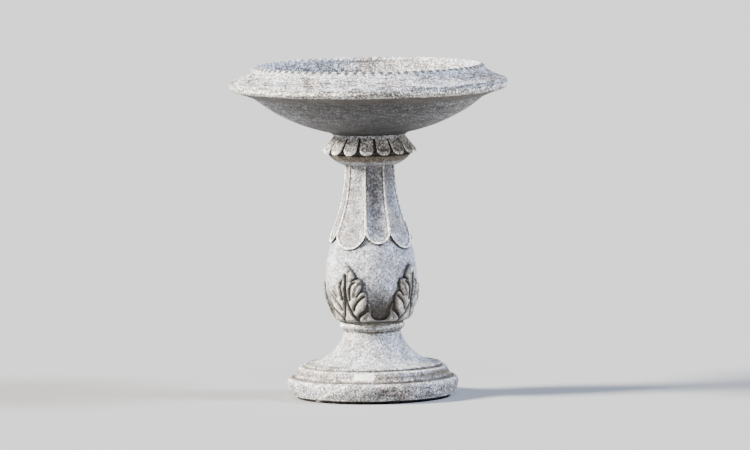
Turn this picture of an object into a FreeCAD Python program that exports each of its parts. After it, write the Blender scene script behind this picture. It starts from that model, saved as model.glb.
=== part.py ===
"""A miniature cast-stone bird bath: a plinth, a foot, an urn with four leaves, a petalled stem and a basin.

Millimetres, +Z up.  The origin is the middle of the face that stands on the ground.
Every section is turned about the Z axis and stands on the flat top of the one below it.
The front of the bird bath faces -Y, and angles round it are counted from there towards +X.
"""
import FreeCAD, Part
import math
import os
import re

import Sketcher

SIZES = (
    # plinth disc
    ("plinth_radius", 19.6),
    ("plinth_height", 4.6),
    ("plinth_belly_height", 3.5),
    ("plinth_undercut", 1.1),
    ("plinth_nose", 0.7),
    # moulding on the plinth
    ("moulding_setback", 0.6),
    ("moulding_step", 0.3),
    ("moulding_slope_width", 1.5),
    ("moulding_slope_height", 2.15),
    ("moulding_bevel_width", 1.4),
    ("moulding_height", 3.3),
    # foot
    ("foot_ledge", 2.0),
    ("foot_height", 7.5),
    ("foot_sweep_radius", 10.5),
    ("foot_neck_radius", 6.45),
    ("foot_neck_length", 0.7),
    # ring between foot and urn
    ("waist_seat_lap", 0.45),
    ("waist_height", 1.9),
    ("waist_roll", 0.75),
    # urn
    ("urn_base_lap", 0.45),
    ("urn_belly_radius", 10.4),
    ("urn_belly_height", 8.7),
    ("urn_top_radius", 7.7),
    ("urn_height", 21.3),
    # leaves on the urn
    ("leaf_relief", 0.45),
    ("leaf_rib_relief", 0.7),
    ("leaf_rib_width", 0.9),
    ("leaf_base_height", 0.4),
    ("leaf_tip_height", 12.7),
    ("leaf_half_width", 4.3),
    ("leaf_first_angle", -32.0),
    ("leaf_coat_angle", 120.0),
    # stem with its hanging petals
    ("stem_radius", 5.7),
    ("stem_height", 14.5),
    ("stem_shoulder_height", 0.9),
    ("stem_shoulder_radius", 8.3),
    ("skirt_drop", 4.3),
    ("skirt_thickness", 0.42),
    ("skirt_gap", 0.1),
    ("skirt_curve_radius", 20.0),
    ("petal_count", 8.0),
    ("petal_first_angle", 11.3),
    ("petal_gap_height", 3.6),
    ("flute_radius", 2.6),
    ("flute_depth", 0.45),
    ("flute_swing", 30.0),
    # ring on top of the stem
    ("ovolo_lap", 0.4),
    ("ovolo_radius", 9.5),
    ("ovolo_height", 2.5),
    ("ovolo_edge", 0.3),
    ("ovolo_round_radius", 6.0),
    # collar of short petals
    ("collar_ledge", 0.3),
    ("collar_tip_radius", 10.8),
    ("collar_tip_height", 0.6),
    ("collar_top_radius", 8.35),
    ("collar_height", 3.9),
    ("collar_curve_radius", 5.0),
    ("collar_petal_count", 16.0),
    ("collar_first_angle", 7.45),
    ("collar_slot_root_radius", 7.9),
    ("collar_slot_half_width", 0.7),
    ("collar_slot_curve_radius", 16.0),
    # basin
    ("basin_radius", 31.75),
    ("basin_neck_setback", 0.15),
    ("basin_cove", 1.3),
    ("basin_cove_radius", 2.6),
    ("basin_underside_radius", 38.8),
    ("lip_overhang", 5.55),
    ("lip_crease_height", 9.05),
    ("lip_round", 0.85),
    ("lip_under_height", 10.7),
    ("lip_tip_height", 12.1),
    ("lip_top_height", 13.5),
    ("shoulder_curve_radius", 6.0),
    ("rim_setback", 6.15),
    ("rim_height", 15.3),
    ("bowl_wall_width", 1.0),
    ("bowl_wall_height", 2.8),
    ("bowl_floor_height", 7.0),
    # beading on the rim
    ("bead_width", 1.9),
    ("bead_height", 1.2),
    ("bead_side_height", 0.35),
    # steel pin up the middle
    ("pin_radius", 1.2),
    ("pin_clearance", 0.05),
    ("pin_chamfer", 0.3),
    ("pin_socket_floor", 2.0),
    ("pin_socket_depth", 3.2),
    ("pin_end_gap", 0.2),
    # how far a cutting shape passes the face that it opens
    ("cut_margin", 1.0),
)

V = FreeCAD.Vector
UP = V(0, 0, 1)
SHEET = "Sizes"
ALIASES = {name for name, value in SIZES}
# The front faces -Y, this many degrees short of the X axis.
FRONT = 90

# A sketch's own origin and axes, as its constraints count them, and the places on a line or an arc.
ORIGIN, ACROSS_AXIS, UP_AXIS = -1, -1, -2
START, END, CENTRE = 1, 2, 3

# Heights at which the sections stand, from the ground up.
MOULDING_BED = "plinth_height"
FOOT_BED = MOULDING_BED + " + moulding_height"
WAIST_BED = FOOT_BED + " + foot_height"
URN_BED = WAIST_BED + " + waist_height"
STEM_BED = URN_BED + " + urn_height"
OVOLO_BED = STEM_BED + " + stem_height"
COLLAR_BED = OVOLO_BED + " + ovolo_height"
BASIN_BED = COLLAR_BED + " + collar_height"
BEAD_BED = BASIN_BED + " + rim_height"

# Sizes that follow from the section below or above.
BORE = "(pin_radius + pin_clearance)"
PLINTH_FOOT = "(plinth_radius - plinth_undercut)"
PLINTH_LIP = "(plinth_radius - plinth_nose)"
MOULDING_FOOT = f"({PLINTH_LIP} - moulding_setback)"
MOULDING_EDGE = f"({MOULDING_FOOT} - moulding_slope_width)"
MOULDING_TOP = f"({MOULDING_EDGE} - moulding_bevel_width)"
FOOT_RADIUS = f"({MOULDING_TOP} - foot_ledge)"
WAIST_SEAT = "(foot_neck_radius + waist_seat_lap)"
URN_BASE = f"({WAIST_SEAT} + urn_base_lap)"
OVOLO_FOOT = "(stem_radius + ovolo_lap)"
COLLAR_SEAT = "(ovolo_radius - collar_ledge)"
BASIN_NECK = "(collar_top_radius - basin_neck_setback)"
LIP_CREASE = "(basin_radius - lip_overhang)"
LIP_EDGE = "(basin_radius - lip_round)"
BEAD_CIRCLE = "(basin_radius - rim_setback)"
BEAD_OUTER = f"({BEAD_CIRCLE} + bead_width / 2)"
BEAD_INNER = f"({BEAD_CIRCLE} - bead_width / 2)"
BOWL_EDGE = f"({BEAD_INNER} - bowl_wall_width)"


def bound(text):
    """Returns an expression in which each size is read from the sheet."""
    return re.sub(r"[a-z_]+", lambda word: f"{SHEET}.{word[0]}" if word[0] in ALIASES else word[0], str(text))


def number(text):
    """Returns what an expression is worth with the sheet's present sizes."""
    return float(sheet.evalExpression(bound(text)))


def make_sheet():
    """Writes every size and its name into the document's sheet."""
    made = doc.addObject("Spreadsheet::Sheet", SHEET)
    for row, (name, value) in enumerate(SIZES, start=1):
        made.set(f"A{row}", name)
        made.set(f"B{row}", str(value))
        made.setAlias(f"B{row}", name)
    doc.recompute()
    return made


def make_body(label, height, turn="0"):
    """Starts a section that stands at a height, turned about the Z axis."""
    body = doc.addObject("PartDesign::Body", label)
    body.Label = label
    body.Placement = FreeCAD.Placement(V(0, 0, number(height)), FreeCAD.Rotation(UP, number(turn)))
    body.setExpression("Placement.Base.z", bound(height))
    if turn != "0":
        body.setExpression("Placement.Rotation.Angle", bound(turn))
    return body


def origin_feature(body, role):
    """Finds one of a body's own planes or axes."""
    return next(part for part in body.Origin.OriginFeatures if part.Role == role)


def make_sketch(body, name, plane, offset="0"):
    """Starts a sketch on one of a body's own planes, raised off that plane by an offset."""
    sketch = body.newObject("Sketcher::SketchObject", f"{body.Label}_{name}")
    sketch.AttachmentSupport = (origin_feature(body, plane), [""])
    sketch.MapMode = "FlatFace"
    if offset != "0":
        sketch.setExpression("AttachmentOffset.Base.z", bound(offset))
    return sketch


def level(height):
    """An arc whose centre is at this height."""
    return ("level", height)


def plumb(across):
    """An arc whose centre is at this distance across."""
    return ("plumb", across)


def proud(radius):
    """An arc of this radius that swells out of the area on the left of its path."""
    return ("proud", radius)


def hollow(radius):
    """An arc of this radius that sinks into the area on the left of its path."""
    return ("hollow", radius)


def arc_centre(start, end, bend):
    """Works out where an arc's centre lies."""
    rule, size = bend
    size = number(size)
    if rule == "level":
        drop = (start.y - size) ** 2 - (end.y - size) ** 2
        return V((start.x ** 2 - end.x ** 2 + drop) / (2 * (start.x - end.x)), size, 0)
    if rule == "plumb":
        reach = (start.x - size) ** 2 - (end.x - size) ** 2
        return V(size, (start.y ** 2 - end.y ** 2 + reach) / (2 * (start.y - end.y)), 0)
    chord = end - start
    left = V(-chord.y, chord.x, 0).normalize()
    rise = math.sqrt(size ** 2 - (chord.Length / 2) ** 2)
    side = 1 if rule == "proud" else -1
    return start + chord / 2 + left * rise * side


def make_arc(start, end, centre):
    """Returns the short arc between two points, and whether it runs from the first to the second."""
    circle = Part.Circle(centre, UP, (start - centre).Length)
    forward = (start - centre).cross(end - centre).z > 0
    first, last = (start, end) if forward else (end, start)
    angles = [math.atan2(point.y - centre.y, point.x - centre.x) for point in (first, last)]
    if angles[1] < angles[0]:
        angles[1] += 2 * math.pi
    return Part.ArcOfCircle(circle, *angles), forward


def pin_down(sketch, kind, edge, place, text):
    """Ties one coordinate of a point to an expression."""
    if text == "0":
        axis = UP_AXIS if kind == "DistanceX" else ACROSS_AXIS
        sketch.addConstraint(Sketcher.Constraint("PointOnObject", edge, place, axis))
        return
    made = sketch.addConstraint(Sketcher.Constraint(kind, ORIGIN, START, edge, place, number(text)))
    sketch.renameConstraint(made, f"size_{made}")
    sketch.setExpression(f"Constraints.size_{made}", bound(text))


def size_radius(sketch, edge, text):
    """Ties the radius of an arc or a circle to an expression."""
    made = sketch.addConstraint(Sketcher.Constraint("Radius", edge, number(text)))
    sketch.renameConstraint(made, f"size_{made}")
    sketch.setExpression(f"Constraints.size_{made}", bound(text))


def draw_outline(sketch, corners):
    """Draws a closed outline.  A corner is (across, up), with the bend of the arc that leaves it, if one does."""
    points = [V(number(corner[0]), number(corner[1]), 0) for corner in corners]
    edges = []
    for index, corner in enumerate(corners):
        start = points[index]
        end = points[(index + 1) % len(corners)]
        if len(corner) == 2:
            edge = sketch.addGeometry(Part.LineSegment(start, end), False)
            edges.append((edge, START, END))
            continue
        arc, forward = make_arc(start, end, arc_centre(start, end, corner[2]))
        edge = sketch.addGeometry(arc, False)
        edges.append((edge, START, END) if forward else (edge, END, START))
    for index, corner in enumerate(corners):
        edge, first, last = edges[index]
        following, next_first, next_last = edges[(index + 1) % len(edges)]
        sketch.addConstraint(Sketcher.Constraint("Coincident", edge, last, following, next_first))
        pin_down(sketch, "DistanceX", edge, first, corner[0])
        pin_down(sketch, "DistanceY", edge, first, corner[1])
    for index, corner in enumerate(corners):
        if len(corner) == 2:
            continue
        edge = edges[index][0]
        rule, text = corner[2]
        if rule == "level":
            pin_down(sketch, "DistanceY", edge, CENTRE, text)
        elif rule == "plumb":
            pin_down(sketch, "DistanceX", edge, CENTRE, text)
        else:
            size_radius(sketch, edge, text)


def turn_solid(body, name, corners, angle="360"):
    """Turns a profile about the Z axis, evenly to both sides of the XZ plane."""
    sketch = make_sketch(body, f"{name}_profile", "XZ_Plane")
    draw_outline(sketch, corners)
    solid = body.newObject("PartDesign::Revolution", f"{body.Label}_{name}")
    solid.Profile = sketch
    solid.ReferenceAxis = (sketch, ["V_Axis"])
    solid.Midplane = True
    if angle == "360":
        solid.Angle = 360
    else:
        solid.setExpression("Angle", bound(angle))
    sketch.Visibility = False
    doc.recompute()
    return solid


def repeat_round(body, cut, count):
    """Repeats a cut evenly round the Z axis, and makes the result the body's shape."""
    pattern = body.newObject("PartDesign::PolarPattern", f"{cut.Name}_pattern")
    pattern.Originals = [cut]
    pattern.Axis = (origin_feature(body, "Z_Axis"), [""])
    pattern.Angle = 360
    pattern.setExpression("Occurrences", bound(count))
    body.Tip = pattern
    doc.recompute()


def cut_through(body, name, sketch):
    """Cuts a sketch's area out of the body, along the way that its plane faces."""
    cut = body.newObject("PartDesign::Pocket", f"{body.Label}_{name}")
    cut.Profile = sketch
    cut.Type = "ThroughAll"
    cut.Reversed = True
    check_removal(cut)
    return cut


def check_removal(cut):
    """Works a cut out, and stops if it took nothing away."""
    doc.recompute()
    if not cut.Shape.Volume < cut.BaseFeature.Shape.Volume:
        raise RuntimeError(f"{cut.Name} removes nothing")


def make_plinth_disc():
    body = make_body("plinth_disc", "0")
    turn_solid(body, "disc", (
        ("0", "0"),
        (PLINTH_FOOT, "0", level("plinth_belly_height")),
        ("plinth_radius", "plinth_belly_height", level("plinth_belly_height")),
        (PLINTH_LIP, "plinth_height"),
        (BORE, "plinth_height"),
        (BORE, "pin_socket_floor"),
        ("0", "pin_socket_floor"),
    ))
    return body


def make_plinth_moulding():
    body = make_body("plinth_moulding", MOULDING_BED)
    turn_solid(body, "moulding", (
        (BORE, "0"),
        (MOULDING_FOOT, "0"),
        (MOULDING_FOOT, "moulding_step"),
        (MOULDING_EDGE, "moulding_slope_height"),
        (MOULDING_TOP, "moulding_height"),
        (BORE, "moulding_height"),
    ))
    return body


def make_foot():
    body = make_body("foot", FOOT_BED)
    turn_solid(body, "trumpet", (
        (BORE, "0"),
        (FOOT_RADIUS, "0", hollow("foot_sweep_radius")),
        ("foot_neck_radius", "foot_height - foot_neck_length"),
        ("foot_neck_radius", "foot_height"),
        (BORE, "foot_height"),
    ))
    return body


def make_waist_ring():
    body = make_body("waist_ring", WAIST_BED)
    turn_solid(body, "ring", (
        (BORE, "0"),
        (WAIST_SEAT, "0", level("waist_height / 2")),
        (f"({WAIST_SEAT} + waist_roll)", "waist_height / 2", level("waist_height / 2")),
        (WAIST_SEAT, "waist_height"),
        (BORE, "waist_height"),
    ))
    return body


def make_urn():
    body = make_body("urn", URN_BED)
    turn_solid(body, "vessel", (
        (BORE, "0"),
        (URN_BASE, "0", level("urn_belly_height")),
        ("urn_belly_radius", "urn_belly_height", level("urn_belly_height")),
        ("urn_top_radius", "urn_height"),
        (BORE, "urn_height"),
    ))
    return body


def urn_radius(height, end_radius, end_height, proud_by="0"):
    """The urn's radius at a height, on its curve between the belly and the end that is given.

    The curve's centre is level with the belly, so both of its ends lie at one distance from it.
    """
    reach = f"({end_height} - urn_belly_height)^2"
    centre = f"((urn_belly_radius^2 - {end_radius}^2 - {reach}) / (2 * (urn_belly_radius - {end_radius})))"
    radius = f"(urn_belly_radius - {centre} + {proud_by})"
    return f"({centre} + sqrt({radius}^2 - ({height} - urn_belly_height)^2))"


def leaf_shell(relief):
    """The outline of a coat of even thickness on the urn, from the leaf's foot to its tip."""
    lower = (URN_BASE, "0")
    upper = ("urn_top_radius", "urn_height")
    foot, tip = "leaf_base_height", "leaf_tip_height"
    return (
        (urn_radius(foot, *lower), foot),
        (urn_radius(foot, *lower, relief), foot, level("urn_belly_height")),
        (f"urn_belly_radius + {relief}", "urn_belly_height", level("urn_belly_height")),
        (urn_radius(tip, *upper, relief), tip),
        (urn_radius(tip, *upper), tip, level("urn_belly_height")),
        ("urn_belly_radius", "urn_belly_height", level("urn_belly_height")),
    )


LEAF_COUNT = 4
# A leaf's right edge from foot to tip: each corner's share of the half width, its share of the leaf's
# height, and the radius of the arc from there to the next corner, as a share of the half width.
LEAF_EDGE = (
    (0.35, 0.00, 0.75),
    (1.00, 0.22, 0.60),
    (0.62, 0.33, 0.60),
    (0.93, 0.47, 0.55),
    (0.52, 0.60, 0.55),
    (0.72, 0.76, 0.50),
    (0.36, 0.86, 0.60),
)


def leaf_outline():
    """A leaf's lobed outline: up its right edge to the tip, and down its left."""
    rise = "(leaf_tip_height - leaf_base_height)"
    heights = [f"leaf_base_height + {rise} * {up}" for out, up, bend in LEAF_EDGE]
    bends = [proud(f"leaf_half_width * {bend}") for out, up, bend in LEAF_EDGE]
    right = [(f"leaf_half_width * {edge[0]}", height, bend) for edge, height, bend in zip(LEAF_EDGE, heights, bends)]
    left = [(f"-leaf_half_width * {edge[0]}", height, bend)
            for edge, height, bend in zip(LEAF_EDGE[1:], heights[1:], bends)]
    foot = (f"-leaf_half_width * {LEAF_EDGE[0][0]}", heights[0])
    return (*right, ("0", "leaf_tip_height", bends[-1]), *reversed(left), foot)


def make_leaf(index):
    turn = f"leaf_first_angle - {FRONT} + {index} * 360 / {LEAF_COUNT}"
    body = make_body(f"acanthus_leaf_{index + 1}", URN_BED, turn)
    turn_solid(body, "coat", leaf_shell("leaf_relief"), "leaf_coat_angle")
    side = "(urn_belly_radius + cut_margin)"
    below = "-cut_margin"
    above = "leaf_tip_height + cut_margin"
    sketch = make_sketch(body, "outline", "YZ_Plane")
    draw_outline(sketch, ((f"-{side}", below), (side, below), (side, above), (f"-{side}", above)))
    draw_outline(sketch, leaf_outline())
    cut_through(body, "lobes", sketch)
    turn_solid(body, "rib", leaf_shell("leaf_rib_relief"), "leaf_rib_width / urn_belly_radius * 180 / pi")
    return body


def make_petal_sheath():
    body = make_body("petal_sheath", f"{STEM_BED} - skirt_drop", f"petal_first_angle - {FRONT} + 180 / petal_count")
    hem_seat = urn_radius("(urn_height - skirt_drop)", "urn_top_radius", "urn_height")
    hem_inside = f"({hem_seat} + skirt_gap)"
    hem_outside = f"({hem_inside} + skirt_thickness)"
    turn_solid(body, "stem", (
        (BORE, "skirt_drop"),
        ("urn_top_radius + skirt_gap", "skirt_drop", level("urn_belly_height - urn_height + skirt_drop")),
        (hem_inside, "0"),
        (hem_outside, "0", proud("skirt_curve_radius")),
        ("stem_shoulder_radius", "skirt_drop + stem_shoulder_height", level("skirt_drop + stem_height")),
        ("stem_radius", "skirt_drop + stem_height"),
        (BORE, "skirt_drop + stem_height"),
    ))
    cut_petal_gaps(body, hem_outside)
    cut_petal_flutes(body)
    return body


def cut_petal_gaps(body, hem_outside):
    """Cuts the pointed gaps between the petals' tips, the first of them on the body's own X axis."""
    reach = f"({hem_outside} * sin(180 / petal_count))"
    sketch = make_sketch(body, "gap", "YZ_Plane")
    draw_outline(sketch, (
        (f"-{reach}", "-cut_margin"),
        (reach, "-cut_margin"),
        (reach, "0", plumb(reach)),
        ("0", "petal_gap_height", plumb(f"-{reach}")),
        (f"-{reach}", "0"),
    ))
    repeat_round(body, cut_through(body, "gaps", sketch), "petal_count")


def cut_petal_flutes(body):
    """Hollows each petal with a round tool that swings down along the stem's own curve."""
    drop = "(stem_height - stem_shoulder_height)"
    spread = "(stem_shoulder_radius - stem_radius)"
    swing_centre = f"(stem_radius + ({drop}^2 + {spread}^2) / (2 * {spread}))"
    sketch = make_sketch(body, "flute", "XY_Plane", "skirt_drop + stem_height")
    turn = "180 / petal_count"
    sketch.AttachmentOffset = FreeCAD.Placement(sketch.AttachmentOffset.Base, FreeCAD.Rotation(UP, number(turn)))
    sketch.setExpression("AttachmentOffset.Rotation.Angle", bound(turn))
    tool_centre = "stem_radius + flute_radius - flute_depth"
    tool = Part.Circle(V(number(tool_centre), 0, 0), UP, number("flute_radius"))
    circle = sketch.addGeometry(tool, False)
    pin_down(sketch, "DistanceX", circle, CENTRE, tool_centre)
    pin_down(sketch, "DistanceY", circle, CENTRE, "0")
    size_radius(sketch, circle, "flute_radius")
    axle = V(number(swing_centre), 0, 0)
    line = sketch.addGeometry(Part.LineSegment(axle, axle + V(0, 1, 0)), True)
    pin_down(sketch, "DistanceX", line, START, swing_centre)
    pin_down(sketch, "DistanceY", line, START, "0")
    pin_down(sketch, "DistanceX", line, END, swing_centre)
    pin_down(sketch, "DistanceY", line, END, "cut_margin")
    flute = body.newObject("PartDesign::Groove", f"{body.Label}_flutes")
    flute.Profile = sketch
    flute.ReferenceAxis = (sketch, ["Axis0"])
    flute.Reversed = True
    flute.setExpression("Angle", bound("flute_swing"))
    check_removal(flute)
    repeat_round(body, flute, "petal_count")


def make_ovolo_ring():
    body = make_body("ovolo_ring", OVOLO_BED)
    turn_solid(body, "ring", (
        (BORE, "0"),
        (OVOLO_FOOT, "0", proud("ovolo_round_radius")),
        ("ovolo_radius", "ovolo_height - ovolo_edge"),
        ("ovolo_radius", "ovolo_height"),
        (BORE, "ovolo_height"),
    ))
    return body


def make_petal_collar():
    body = make_body("petal_collar", COLLAR_BED, f"collar_first_angle - {FRONT}")
    turn_solid(body, "bell", (
        (BORE, "0"),
        (COLLAR_SEAT, "0"),
        ("collar_tip_radius", "collar_tip_height", proud("collar_curve_radius")),
        ("collar_top_radius", "collar_height"),
        (BORE, "collar_height"),
    ))
    sketch = make_sketch(body, "slot", "XY_Plane")
    outside = "collar_tip_radius + cut_margin"
    draw_outline(sketch, (
        ("collar_slot_root_radius", "0", hollow("collar_slot_curve_radius")),
        (outside, "-collar_slot_half_width"),
        (outside, "collar_slot_half_width", hollow("collar_slot_curve_radius")),
    ))
    repeat_round(body, cut_through(body, "slots", sketch), "collar_petal_count")
    return body


def make_basin():
    body = make_body("basin", BASIN_BED)
    turn_solid(body, "bowl", (
        (BORE, "0"),
        (BASIN_NECK, "0", hollow("basin_cove_radius")),
        (f"{BASIN_NECK} + basin_cove", "basin_cove", proud("basin_underside_radius")),
        (LIP_CREASE, "lip_crease_height"),
        (LIP_EDGE, "lip_under_height", level("lip_tip_height")),
        ("basin_radius", "lip_tip_height", level("lip_tip_height")),
        (LIP_EDGE, "lip_top_height", hollow("shoulder_curve_radius")),
        (BEAD_OUTER, "rim_height"),
        (BEAD_INNER, "rim_height"),
        (BOWL_EDGE, "rim_height - bowl_wall_height", plumb("0")),
        ("0", "bowl_floor_height"),
        ("0", "pin_socket_depth"),
        (BORE, "pin_socket_depth"),
    ))
    return body


def make_rim_beading():
    body = make_body("rim_beading", BEAD_BED)
    turn_solid(body, "band", (
        (BEAD_INNER, "0"),
        (BEAD_OUTER, "0"),
        (BEAD_OUTER, "bead_side_height", plumb(BEAD_CIRCLE)),
        (BEAD_CIRCLE, "bead_height", plumb(BEAD_CIRCLE)),
        (BEAD_INNER, "bead_side_height"),
    ))
    return body


def make_core_pin():
    body = make_body("core_pin", "pin_socket_floor")
    length = f"({BASIN_BED} + pin_socket_depth - pin_end_gap - pin_socket_floor)"
    turn_solid(body, "rod", (
        ("0", "0"),
        ("pin_radius - pin_chamfer", "0"),
        ("pin_radius", "pin_chamfer"),
        ("pin_radius", f"{length} - pin_chamfer"),
        ("pin_radius - pin_chamfer", length),
        ("0", length),
    ))
    return body


def check_document():
    """Stops if any object failed to build, or any section is not one sound solid."""
    for item in doc.Objects:
        if "Invalid" in item.State or "Error" in item.State:
            raise RuntimeError(f"{item.Name} is {item.State}")
    for body in bodies:
        if body.Shape.isNull() or not body.Shape.isValid() or len(body.Shape.Solids) != 1:
            raise RuntimeError(f"{body.Label} is not one sound solid")


doc = FreeCAD.newDocument("bird_bath")
sheet = make_sheet()
bodies = [make_plinth_disc(), make_plinth_moulding(), make_foot(), make_waist_ring(), make_urn()]
bodies += [make_leaf(index) for index in range(LEAF_COUNT)]
bodies += [make_petal_sheath(), make_ovolo_ring(), make_petal_collar(), make_basin(), make_rim_beading()]
bodies += [make_core_pin()]
doc.recompute()
check_document()

os.makedirs("parts", exist_ok=True)
for body in bodies:
    body.Shape.exportStep(f"parts/{body.Label}.step")
    print(body.Label, round(body.Shape.Volume, 2))
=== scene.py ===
"""A miniature bird bath in stone-painted cast resin.

Each turned section is an outline swept round the upright axis.  The hanging petals start as a plain tube,
and the short petals and the leaves as plain patches, which are then carved.  Sizes named _MM are in
millimetres, and places round the axis are in degrees from the front, towards the right.
"""

import math

import bmesh
import bpy
import numpy as np
from mathutils import Matrix, Vector, noise


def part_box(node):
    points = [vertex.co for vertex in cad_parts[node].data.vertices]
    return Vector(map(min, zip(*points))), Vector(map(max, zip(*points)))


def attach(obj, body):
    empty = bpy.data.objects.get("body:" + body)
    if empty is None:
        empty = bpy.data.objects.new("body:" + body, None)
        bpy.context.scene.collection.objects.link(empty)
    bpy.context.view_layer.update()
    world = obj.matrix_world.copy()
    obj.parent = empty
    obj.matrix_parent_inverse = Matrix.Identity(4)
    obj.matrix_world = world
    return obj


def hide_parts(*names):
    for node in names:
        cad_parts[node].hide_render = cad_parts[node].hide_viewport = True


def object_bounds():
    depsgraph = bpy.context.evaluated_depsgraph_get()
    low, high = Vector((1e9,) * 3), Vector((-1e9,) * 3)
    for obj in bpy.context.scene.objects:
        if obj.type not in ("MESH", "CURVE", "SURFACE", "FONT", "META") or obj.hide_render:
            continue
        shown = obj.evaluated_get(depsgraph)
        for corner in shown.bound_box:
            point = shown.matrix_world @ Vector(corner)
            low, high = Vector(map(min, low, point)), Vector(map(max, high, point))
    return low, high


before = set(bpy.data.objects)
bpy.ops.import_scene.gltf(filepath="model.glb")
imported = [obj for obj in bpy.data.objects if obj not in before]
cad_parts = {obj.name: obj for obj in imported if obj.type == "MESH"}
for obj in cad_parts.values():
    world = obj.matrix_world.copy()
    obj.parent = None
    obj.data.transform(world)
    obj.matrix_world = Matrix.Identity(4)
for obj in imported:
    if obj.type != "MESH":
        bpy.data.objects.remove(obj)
cad_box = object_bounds()

MM = 0.001
FULL_TURN = 2 * math.pi
FRONT = -math.pi / 2
STEP_MM = 0.3
# Points nearer than this, in metres, are one point.
WELD, FINE_WELD = 1e-6, 1e-7
# A section is spun as one wedge, a full turn halved this often, which is then doubled as often.
WEDGE_HALVINGS = 4
# What each point of a mesh says about its paint.
MARKS = ("worn", "grime", "shade")


# ---------------------------------------------------------------- outlines

def ramp(value, low, high):
    """0 at low, 1 at high, and straight between them; low may be the larger."""
    return min(1.0, max(0.0, (value - low) / (high - low)))


def bell(value, reach):
    """1 where value is zero, fading evenly to both sides over about the reach."""
    return np.exp(-(value / reach) ** 2)


def run(start, end, bow=0.0, step=STEP_MM):
    """Points from start up to, but not with, end, on an arc that stands bow to the right of its chord."""
    (x0, y0), (x1, y1) = start, end
    chord = math.hypot(x1 - x0, y1 - y0)
    count = max(1, round(chord / step))
    if not bow:
        return [(x0 + (x1 - x0) * i / count, y0 + (y1 - y0) * i / count) for i in range(count)]
    radius = (chord * chord / 4 + bow * bow) / (2 * bow)
    half = 2 * math.atan2(2 * bow, chord)
    ahead = ((x1 - x0) / chord, (y1 - y0) / chord)
    points = []
    for i in range(count):
        turn = half * (2 * i / count - 1)
        along = chord / 2 + radius * math.sin(turn)
        aside = radius * math.cos(turn) - radius + bow
        points.append((x0 + ahead[0] * along + ahead[1] * aside, y0 + ahead[1] * along - ahead[0] * aside))
    return points


def outline(corners, step=STEP_MM):
    """An outline through (radius, height, bow) corners; bow belongs to the stretch after the corner."""
    points = []
    for here, there in zip(corners, corners[1:]):
        bow = here[2] if len(here) > 2 else 0.0
        points += run(here[:2], there[:2], bow, step)
    return points + [corners[-1][:2]]


def nearness(point, spots):
    """How close a point is to any (radius, height, reach, strength) spot, from 0 to that strength."""
    best = 0.0
    for radius, height, reach, strength in spots:
        best = max(best, strength * bell(math.hypot(point[0] - radius, point[1] - height), reach))
    return best


# ---------------------------------------------------------------- pieces

SEED_SHIFT = (7.3, 3.1, 5.7)
DENT_MM = 4.0
FINE_DENT_SIZE, FINE_DENT_DEPTH = 0.4, 0.5
SHARP_DEGREES = 40


def start_mesh():
    """An empty mesh whose points can say how worn, washed with brown and darkened they are; the darkening is
    mostly painted shade.
    """
    mesh = bmesh.new()
    for mark in MARKS:
        mesh.verts.layers.float.new(mark)
    return mesh


def layers(mesh):
    """The mesh's worn, grime and shade layers."""
    return tuple(mesh.verts.layers.float[mark] for mark in MARKS)


def roughen(mesh, depth_mm, size_mm, seed):
    """Moves each point along its normal, as an uneven hand-finished casting."""
    mesh.normal_update()
    shift = Vector([seed * part for part in SEED_SHIFT])
    moves = []
    for vert in mesh.verts:
        rise = noise.noise(vert.co / (size_mm * MM) + shift)
        rise += FINE_DENT_DEPTH * noise.noise(vert.co / (size_mm * MM * FINE_DENT_SIZE) + shift)
        moves.append(vert.normal * rise * depth_mm * MM)
    for vert, move in zip(mesh.verts, moves):
        vert.co += move


def add_piece(mesh, name, material, replaced, sharp_degrees=SHARP_DEGREES):
    """Makes a finished mesh a piece that rides on the bird bath and stands for its CAD node.

    No point of it ends up lower than the CAD model's foot, or higher than its top.
    """
    for vert in mesh.verts:
        vert.co.z = min(max(vert.co.z, cad_box[0][2]), cad_box[1][2])
    bmesh.ops.remove_doubles(mesh, verts=mesh.verts, dist=FINE_WELD)
    bmesh.ops.recalc_face_normals(mesh, faces=mesh.faces)
    data = bpy.data.meshes.new(name)
    mesh.to_mesh(data)
    mesh.free()
    data.polygons.foreach_set("use_smooth", [True] * len(data.polygons))
    data.set_sharp_from_angle(angle=math.radians(sharp_degrees))
    data.materials.append(material)
    piece = bpy.data.objects.new(name, data)
    bpy.context.scene.collection.objects.link(piece)
    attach(piece, "root")
    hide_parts(replaced)


def sweep(mesh, points_mm, floor, steps, edges=(), grooves=(), shades=()):
    """Adds an outline of (radius, height) points, standing on a floor height, swept round the axis."""
    worn, grime, shade = layers(mesh)
    verts = []
    for point in points_mm:
        vert = mesh.verts.new((point[0] * MM, 0, floor + point[1] * MM))
        vert[worn] = nearness(point, edges)
        vert[grime] = nearness(point, grooves)
        vert[shade] = nearness(point, shades)
        verts.append(vert)
    lines = [mesh.edges.new(pair) for pair in zip(verts, verts[1:])]
    wedge = FULL_TURN / 2 ** WEDGE_HALVINGS
    bmesh.ops.spin(mesh, geom=verts + lines, cent=(0, 0, 0), axis=(0, 0, 1), angle=wedge,
                   steps=steps // 2 ** WEDGE_HALVINGS, use_duplicate=False)
    for _ in range(WEDGE_HALVINGS):
        copy = bmesh.ops.duplicate(mesh, geom=mesh.verts[:] + mesh.edges[:] + mesh.faces[:])["geom"]
        bmesh.ops.rotate(mesh, cent=(0, 0, 0), matrix=Matrix.Rotation(wedge, 3, "Z"),
                         verts=[item for item in copy if isinstance(item, bmesh.types.BMVert)])
        wedge *= 2
    bmesh.ops.remove_doubles(mesh, verts=mesh.verts, dist=WELD)


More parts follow.
